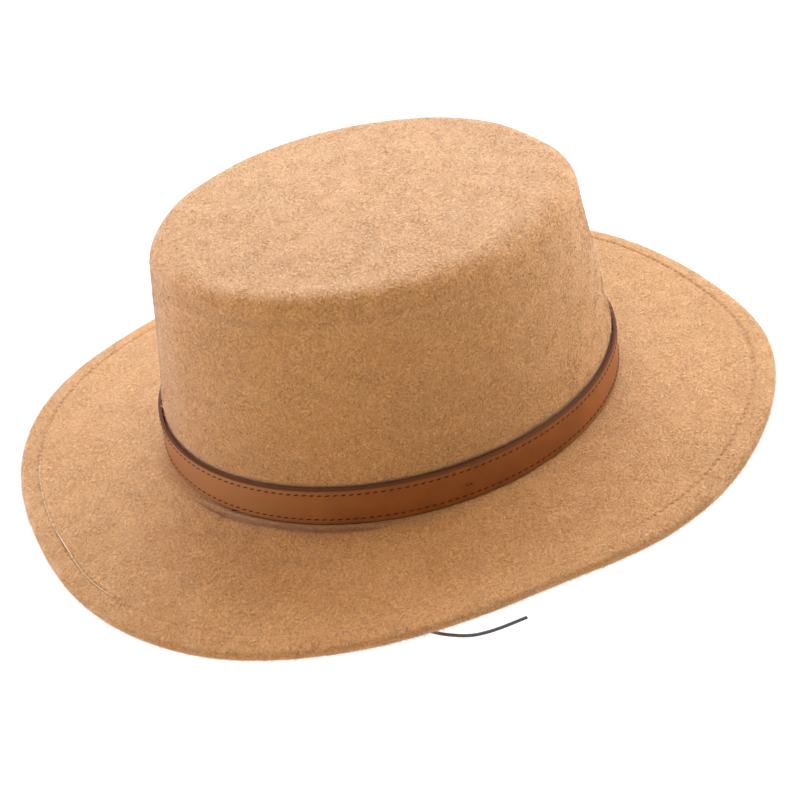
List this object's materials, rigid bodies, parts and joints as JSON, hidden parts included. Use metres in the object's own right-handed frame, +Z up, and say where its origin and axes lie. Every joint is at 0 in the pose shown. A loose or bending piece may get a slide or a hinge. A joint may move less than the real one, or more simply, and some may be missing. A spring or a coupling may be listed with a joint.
{
  "type": "wool felt hat",
  "caption": "Felt hat with a flat-topped oval crown, a wide nearly flat brim with a stitched edge, a narrow leather band and a thin sizing cord.",
  "frame": {"origin": "on the ground under the middle of the hat", "axes": "+Z up through the crown, +Y towards the back of the hat along its longer side, -Y the front, +X the wearer's left"},
  "size_m": [0.2845, 0.3302, 0.1108],
  "materials": {
    "felt": "camel wool felt, brushed nap",
    "band_leather": "smooth brown leather, satin, edge painted dark",
    "tab_leather": "plain brown leather, matt",
    "cord": "dark grey waxed cord"
  },
  "bodies": {
    "root": {"felt_body": "felt", "leather_band": "band_leather", "cord_tab": "tab_leather", "size_cord": "cord"}
  },
  "joints": []
}
